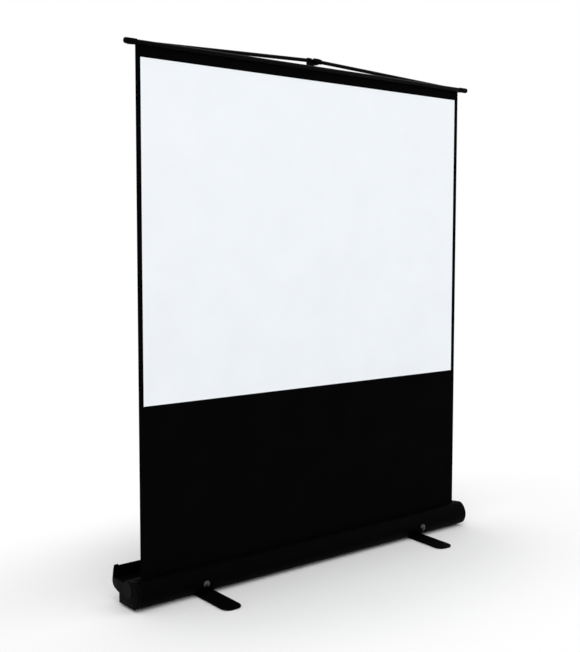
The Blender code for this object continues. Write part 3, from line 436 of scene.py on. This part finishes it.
def head_tree():
    """Fastener heads on points: a low dome with a flat top, and a cross recess in it where
    Recess is above zero.
    """
    tree, given = new_tree("fastener_heads", ("Radius", "Height", "Recess"))
    wires = {"Segments": HEAD_SEGMENTS, "Rings": HEAD_RINGS, "Radius": 1.0}
    ball = add(tree, "GeometryNodeMeshUVSphere", wires).outputs["Mesh"]
    place = add(tree, "GeometryNodeInputPosition").outputs[0]
    place = add(tree, "ShaderNodeSeparateXYZ", {0: place}).outputs
    level = times(tree, place["Z"], HEAD_FLATNESS)
    level = add(tree, "ShaderNodeClamp", {"Value": level}).outputs[0]
    place = vector(
        tree,
        X=times(tree, place["X"], given["Radius"]),
        Y=times(tree, place["Y"], given["Radius"]),
        Z=times(tree, level, given["Height"]),
    )
    wires = {"Geometry": ball, "Position": place}
    dome = add(tree, "GeometryNodeSetPosition", wires).outputs[0]
    wires = {"Geometry": dome, "Distance": HEAD_WELD}
    dome = add(tree, "GeometryNodeMergeByDistance", wires).outputs[0]

    long_side = times(tree, given["Radius"], RECESS_LENGTH)
    short_side = times(tree, given["Radius"], RECESS_WIDTH)
    deep = times(tree, given["Recess"], 2.0)
    at_top = vector(tree, Z=given["Height"])
    cut = dome
    for first, second in ((long_side, short_side), (short_side, long_side)):
        size = vector(tree, X=first, Y=second, Z=deep)
        blade = add(tree, "GeometryNodeMeshCube", {"Size": size}).outputs["Mesh"]
        wires = {"Geometry": blade, "Offset": at_top}
        blade = add(tree, "GeometryNodeSetPosition", wires).outputs[0]
        wires = {"Mesh 1": cut, "Mesh 2": blade}
        cut = add(tree, "GeometryNodeMeshBoolean", wires, operation="DIFFERENCE").outputs["Mesh"]

    wires = {0: given["Recess"], 1: 0.0}
    crossed = add(tree, "FunctionNodeCompare", wires, operation="GREATER_THAN").outputs[0]
    wires = {"Switch": crossed, "False": dome, "True": cut}
    head = add(tree, "GeometryNodeSwitch", wires, input_type="GEOMETRY").outputs[0]
    spots = stand_on_points(tree, given["Geometry"], head)
    wires = {"Min": (0, 0, 0), "Max": (0, 0, math.pi), "Seed": SEED}
    turn = add(tree, "FunctionNodeRandomValue", wires, data_type="FLOAT_VECTOR").outputs[0]
    wires = {"Instances": spots, "Rotation": turn}
    spun = add(tree, "GeometryNodeRotateInstances", wires).outputs[0]
    return close_tree(tree, spun, given["Material"])


def coil_tree():
    """A wire wound round the facing attribute's way from its point, its turns a pitch apart."""
    tree, given = new_tree("wound_wire", ("Radius", "Length", "Pitch", "Wire radius"))
    wires = {0: given["Length"], 1: given["Pitch"]}
    turns = add(tree, "ShaderNodeMath", wires, operation="DIVIDE").outputs[0]
    wires = {
        "Resolution": COIL_STEPS,
        "Rotations": turns,
        "Start Radius": given["Radius"],
        "End Radius": given["Radius"],
        "Height": given["Length"],
    }
    line = add(tree, "GeometryNodeCurveSpiral", wires).outputs[0]
    wires = {"Resolution": WIRE_SIDES, "Radius": given["Wire radius"]}
    wire = add(tree, "GeometryNodeCurvePrimitiveCircle", wires).outputs[0]
    wires = {"Curve": line, "Profile Curve": wire, "Fill Caps": True}
    rod = add(tree, "GeometryNodeCurveToMesh", wires).outputs[0]
    spots = stand_on_points(tree, given["Geometry"], rod)
    return close_tree(tree, spots, given["Material"])


def soft_tree():
    """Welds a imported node's loose triangles and shades them smooth, apart from edges sharper
    than Angle.
    """
    tree, given = new_tree("smooth_by_angle", ("Angle",), painted=False)
    wires = {"Geometry": given["Geometry"], "Name": "custom_normal"}
    bare = add(tree, "GeometryNodeRemoveAttribute", wires).outputs[0]
    wires = {"Geometry": bare, "Distance": WELD}
    whole = add(tree, "GeometryNodeMergeByDistance", wires).outputs[0]
    wires = {0: whole, "Shade Smooth": True}
    smooth = add(tree, "GeometryNodeSetShadeSmooth", wires, domain="FACE").outputs[0]
    angle = add(tree, "GeometryNodeInputMeshEdgeAngle").outputs["Unsigned Angle"]
    wires = {0: angle, 1: given["Angle"]}
    sharp = add(tree, "FunctionNodeCompare", wires, operation="GREATER_THAN").outputs[0]
    wires = {0: smooth, "Selection": sharp, "Shade Smooth": False}
    creased = add(tree, "GeometryNodeSetShadeSmooth", wires, domain="EDGE").outputs[0]
    add(tree, "NodeGroupOutput", {"Geometry": creased})
    return tree


def give_inputs(modifier, values):
    """Sets a modifier's inputs through the identifiers of the sockets with these names."""
    items = modifier.node_group.interface.items_tree
    names = {item.name: item.identifier for item in items if item.in_out == "INPUT"}
    for label, value in values.items():
        modifier[names[label]] = value


# --- Pieces ---


def add_piece(name, mesh):
    """Links a mesh as a piece at the origin, smooth apart from its sharp edges."""
    mesh.shade_smooth()
    mesh.set_sharp_from_angle(angle=SHARP_ANGLE)
    piece = bpy.data.objects.new(name, mesh)
    scene.collection.objects.link(piece)
    return piece


def grow(name, seats, tree, values):
    """Runs a tree on seats, which are pairs of a point and the way it faces, and keeps the
    result as a plain mesh.
    """
    base = bpy.data.meshes.new(name)
    base.from_pydata([point for point, facing in seats], [], [])
    ways = base.attributes.new("facing", "FLOAT_VECTOR", "POINT")
    ways.data.foreach_set("vector", np.array([facing for point, facing in seats], float).ravel())
    carrier = bpy.data.objects.new(name, base)
    scene.collection.objects.link(carrier)
    modifier = carrier.modifiers.new(tree.name, "NODES")
    modifier.node_group = tree
    give_inputs(modifier, values)
    graph = bpy.context.evaluated_depsgraph_get()
    mesh = bpy.data.meshes.new_from_object(carrier.evaluated_get(graph))
    carrier.modifiers.clear()
    bpy.data.objects.remove(carrier)
    return add_piece(name, mesh)


def fasteners(name, body, seats, material, radius, height, recess=0.0):
    """Rivets or, with a recess, cross-head screws on seats of one body."""
    values = {"Radius": radius, "Height": height, "Recess": recess, "Material": material}
    piece = grow(name, seats, heads, values)
    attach(piece, body)
    return piece


def ribbon(name, path, half_width, thickness, material):
    """A closed strip of cloth that follows a path of (y, z) points, as wide as the cloth."""
    line = np.array(path, float)
    run = np.gradient(line, axis=0)
    run /= np.linalg.norm(run, axis=1)[:, None]
    aside = np.stack([-run[:, 1], run[:, 0]], axis=1) * thickness / 2
    ring = np.concatenate([line + aside, (line - aside)[::-1]])
    count = len(ring)
    ends = [[(x, y, z) for y, z in ring] for x in (-half_width, half_width)]
    sides = [(i, (i + 1) % count, count + (i + 1) % count, count + i) for i in range(count)]
    last = len(line) - 1
    caps = [(i, count - 1 - i, count - 2 - i, i + 1) for i in range(last)]
    caps += [tuple(count + corner for corner in reversed(cap)) for cap in caps]
    mesh = bpy.data.meshes.new(name)
    mesh.from_pydata(ends[0] + ends[1], [], sides + caps)
    shape = bmesh.new()
    shape.from_mesh(mesh)
    bmesh.ops.recalc_face_normals(shape, faces=shape.faces)
    shape.to_mesh(mesh)
    shape.free()
    mesh.materials.append(material)
    return add_piece(name, mesh)


def spread(low, high, marks, step):
    """Grid lines from low to high that pass through the marks, no further apart than a step."""
    stops = [low, *marks, high]
    lines = [low]
    for first, second in zip(stops, stops[1:]):
        count = max(1, math.ceil((second - first) / step))
        lines += [first + (second - first) * i / count for i in range(1, count + 1)]
    return lines


def hang_of(x, share):
    """How far the cloth stands back of its plane at a share of its height: broad low waves that
    die out at the bar and the roller.
    """
    ease = math.sin(math.pi * share) ** 2
    wave = 0.5 + 0.5 * math.sin(2 * math.pi * x / WAVE_LENGTH + WAVE_LEAN * share)
    return WAVE_HEIGHT * ease * wave


def make_cloth():
    """The stretched cloth from the roller to the bar, white inside its black borders, with a
    black back.
    """
    low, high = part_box("screen_fabric")
    middle = (low.y + high.y) / 2
    half_picture = high.x - SIDE_BORDER
    across = spread(low.x, high.x, (-half_picture, half_picture), CLOTH_STEP)
    up = spread(low.z, high.z, (PICTURE_BOTTOM, PICTURE_TOP), CLOTH_STEP)
    columns, rows = len(across), len(up)
    points = []
    for side in (-1, 1):
        level = middle + side * CLOTH_THICKNESS / 2
        for z in up:
            share = (z - low.z) / (high.z - low.z)
            points += [(x, level + hang_of(x, share), z) for x in across]
    layer = columns * rows
    faces, paints = [], []
    for row in range(rows - 1):
        for column in range(columns - 1):
            corner = row * columns + column
            front = (corner, corner + 1, corner + columns + 1, corner + columns)
            x = (across[column] + across[column + 1]) / 2
            z = (up[row] + up[row + 1]) / 2
            white = abs(x) < half_picture and PICTURE_BOTTOM < z < PICTURE_TOP
            faces += [front, tuple(layer + point for point in reversed(front))]
            paints += [0 if white else 1, 2]
    rim = [row * columns for row in range(rows)]
    rim += [(rows - 1) * columns + column for column in range(1, columns)]
    rim += [row * columns + columns - 1 for row in range(rows - 2, -1, -1)]
    rim += list(range(columns - 2, 0, -1))
    for first, second in zip(rim, rim[1:] + rim[:1]):
        faces.append((first, second, layer + second, layer + first))
        paints.append(1)
    mesh = bpy.data.meshes.new("screen_cloth")
    mesh.from_pydata(points, [], faces)
    for material in (picture_cloth, border_cloth, backing_cloth):
        mesh.materials.append(material)
    mesh.polygons.foreach_set("material_index", paints)
    return add_piece("screen_cloth", mesh)


def make_hem():
    """The doubled top border: it stands before the cloth, folds over its top edge and ends in a
    short lip.
    """
    low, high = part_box("screen_fabric")
    middle = (low.y + high.y) / 2
    reach = CLOTH_THICKNESS / 2 + HEM_GAP + HEM_THICKNESS / 2
    fold = [
        (middle - reach * math.cos(turn), high.z + HEM_GAP + reach * math.sin(turn))
        for turn in np.linspace(0, math.pi, HEM_FOLD_POINTS)
    ]
    path = [(middle - reach, PICTURE_TOP), *fold, (middle + reach, high.z - HEM_LIP)]
    return ribbon("top_hem", path, high.x, HEM_THICKNESS, border_cloth)


def make_wound_cloth():
    """The last turns of cloth on the roller, wound from the tube outwards to the plane where
    they leave it.
    """
    low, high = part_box("fabric_roll")
    tube_low, tube_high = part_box("roller_tube")
    axis_y = (low.y + high.y) / 2
    axis_z = (low.z + high.z) / 2
    inner = (tube_high.z - tube_low.z) / 2 + WOUND_PITCH
    outer = (high.z - low.z) / 2 - CLOTH_THICKNESS / 2
    turns = math.floor((outer - inner) / WOUND_PITCH)
    steps = round(turns * 2 * math.pi / WOUND_STEP)
    path = []
    for i in range(steps + 1):
        angle = math.pi + i * WOUND_STEP
        radius = outer - (steps - i) * WOUND_STEP / (2 * math.pi) * WOUND_PITCH
        path.append((axis_y + radius * math.cos(angle), axis_z - radius * math.sin(angle)))
    length = sum(math.dist(first, second) for first, second in zip(path, path[1:]))
    return ribbon("wound_cloth", path, high.x, CLOTH_THICKNESS, backing_cloth), length


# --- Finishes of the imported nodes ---

soften = soft_tree()
for name, node in nodes.items():
    for slot in node.material_slots:
        finish = FINISH_OF_SLOT[slot.material.name.split(".")[0]]
        slot.material = cover_plastic if name.startswith("axle_cover") else finish
    modifier = node.modifiers.new(soften.name, "NODES")
    modifier.node_group = soften
    give_inputs(modifier, {"Angle": SHARP_ANGLE})

# --- Cloth ---

cloth = make_cloth()
hem = make_hem()
wound, wound_length = make_wound_cloth()
fabric_low, fabric_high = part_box("screen_fabric")

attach(cloth, "casing")
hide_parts("screen_fabric")
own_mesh(cloth)
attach(hem, "bar")
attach(wound, "roller")
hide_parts("fabric_roll")

# --- Fasteners and the spring's wire ---

heads = head_tree()
coils = coil_tree()

bar_low, bar_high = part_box("top_bar")
cloth_middle = (fabric_low.y + fabric_high.y) / 2
rivet_y = cloth_middle + CLOTH_THICKNESS / 2 + HEM_GAP + HEM_THICKNESS
rivet_z = (bar_low.z + bar_high.z) / 2
rivet_line = np.linspace(fabric_low.x, fabric_high.x, 2 * RIVET_COUNT + 1)[1::2]
rivet_seats = [((x, rivet_y, rivet_z), (0, 1, 0)) for x in rivet_line]
rivets = fasteners("hem_rivets", "bar", rivet_seats, black_steel, RIVET_RADIUS, RIVET_HEIGHT)

cap_low, cap_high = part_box("end_cap_right")
cap_seats = [((side * cap_high.x, y, z), (side, 0, 0)) for side in (-1, 1) for y, z in CAP_SCREWS]
cap_sizes = (SCREW_RADIUS, SCREW_HEIGHT, SCREW_RECESS)
cap_screws = fasteners("end_cap_screws", "casing", cap_seats, black_steel, *cap_sizes)

bracket_low, bracket_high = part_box("mast_bracket")
plate_y = (bracket_low.y + bracket_high.y) / 2
plate_top = bracket_low.z + PLATE_THICKNESS
plate_places = (bracket_low.x + PLATE_SCREW_INSET, bracket_high.x - PLATE_SCREW_INSET)
plate_seats = [((x, plate_y, plate_top), (0, 0, 1)) for x in plate_places]
plate_sizes = (PLATE_SCREW_RADIUS, PLATE_SCREW_HEIGHT, SCREW_RECESS)
plate_screws = fasteners("bracket_screws", "casing", plate_seats, black_steel, *plate_sizes)

spring_low, spring_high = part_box("torsion_spring")
coil_start = (spring_low.x, (spring_low.y + spring_high.y) / 2, (spring_low.z + spring_high.z) / 2)
coil_values = {
    "Radius": (spring_high.z - spring_low.z) / 2 - WIRE_RADIUS,
    "Length": spring_high.x - spring_low.x,
    "Pitch": COIL_PITCH,
    "Wire radius": WIRE_RADIUS,
    "Material": spring_steel,
}
coil = grow("spring_coil", [(coil_start, (1, 0, 0))], coils, coil_values)
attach(coil, "casing")
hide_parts("torsion_spring")


# --- Studio ---


def seen_share(tree):
    """One for rays from the camera, off gloss or through glass, and zero for the rays that
    light things.
    """
    ray = add(tree, "ShaderNodeLightPath").outputs
    seen = ray["Is Camera Ray"]
    for kind in ("Is Glossy Ray", "Is Transmission Ray"):
        wires = {0: seen, 1: ray[kind]}
        seen = add(tree, "ShaderNodeMath", wires, operation="ADD", use_clamp=True).outputs[0]
    return seen


def white_far_off(tree, shader, place):
    """Fades a floor's shader into plain white with the distance from the middle of the screen,
    for the rays that see it.
    """
    wires = {"Vector": place, "Scale": (FLOOR_LENGTHWISE, 1, 1)}
    beside = add(tree, "ShaderNodeMapping", wires).outputs["Vector"]
    distance = add(tree, "ShaderNodeVectorMath", {0: beside}, operation="LENGTH").outputs["Value"]
    wires = {"Value": distance, "From Min": FLOOR_NEAR, "From Max": FLOOR_FAR}
    kind = "ShaderNodeMapRange"
    far = add(tree, kind, wires, interpolation_type="SMOOTHSTEP").outputs["Result"]
    wires = {"Color": colour("#ffffff"), "Strength": 1.0}
    glow = add(tree, "ShaderNodeEmission", wires).outputs[0]
    wires = {0: times(tree, far, seen_share(tree)), 1: shader.outputs[0], 2: glow}
    look = add(tree, "ShaderNodeMixShader", wires).outputs[0]
    tree.links.new(look, tree.nodes["Material Output"].inputs["Surface"])


def pale_floor():
    # Matt white backdrop paper: barely mottled, and pure white where it is far from the screen
    material, tree, shader, place = start("pale_floor", roughness=0.9, specular=0.0)
    cloud = noise(tree, place, size=900.0)
    feed(tree, shader, {"Base Color": mottle(tree, cloud, ("#fcfcfc", "#ffffff"))})
    white_far_off(tree, shader, place)
    return material


def add_lamp(name, place, aim, power, size):
    """A square soft lamp that points at aim."""
    lamp = bpy.data.lights.new(name, "AREA")
    lamp.energy = power
    lamp.size = size
    holder = bpy.data.objects.new(name, lamp)
    scene.collection.objects.link(holder)
    holder.location = place
    holder.rotation_euler = (Vector(aim) - Vector(place)).to_track_quat("-Z", "Y").to_euler()


floor_mesh = bpy.data.meshes.new("floor")
reach = FLOOR_SIZE / 2
floor_corners = [(-reach, -reach, 0), (reach, -reach, 0), (reach, reach, 0), (-reach, reach, 0)]
floor_mesh.from_pydata(floor_corners, [], [(0, 1, 2, 3)])
floor_mesh.materials.append(pale_floor())
floor = bpy.data.objects.new("floor", floor_mesh)
scene.collection.objects.link(floor)

world = bpy.data.worlds.new("studio")
scene.world = world
world.use_nodes = True
air = world.node_tree
backdrop = air.nodes["Background"]
backdrop.inputs["Color"].default_value = colour("#ffffff")
strength_range = {"Value": seen_share(air), "To Min": DAYLIGHT_SHARE, "To Max": BACKGROUND_SHARE}
strength = add(air, "ShaderNodeMapRange", strength_range).outputs["Result"]
feed(air, backdrop, {"Strength": strength})

add_lamp("key", KEY_PLACE, KEY_AIM, KEY_POWER, KEY_SIZE)
add_lamp("fill", FILL_PLACE, FILL_AIM, FILL_POWER, FILL_SIZE)

# --- Camera ---

camera = bpy.data.objects.new("camera", bpy.data.cameras.new("camera"))
scene.collection.objects.link(camera)
camera.data.sensor_width = SENSOR
camera.data.lens = FOCAL_PIXELS / PHOTO_HEIGHT * SENSOR
camera.data.shift_x = (PHOTO_WIDTH / 2 - CENTRE_PIXEL[0]) / PHOTO_HEIGHT
camera.data.shift_y = (CENTRE_PIXEL[1] - PHOTO_HEIGHT / 2) / PHOTO_HEIGHT
heading = Matrix.Rotation(-CAMERA_YAW, 4, "Z")
tilt = Matrix.Rotation(math.radians(90) - CAMERA_PITCH, 4, "X")
roll = Matrix.Rotation(CAMERA_ROLL, 4, "Z")
camera.matrix_world = Matrix.Translation(CAMERA_PLACE) @ heading @ tilt @ roll
scene.camera = camera

scene.view_settings.view_transform = "Standard"
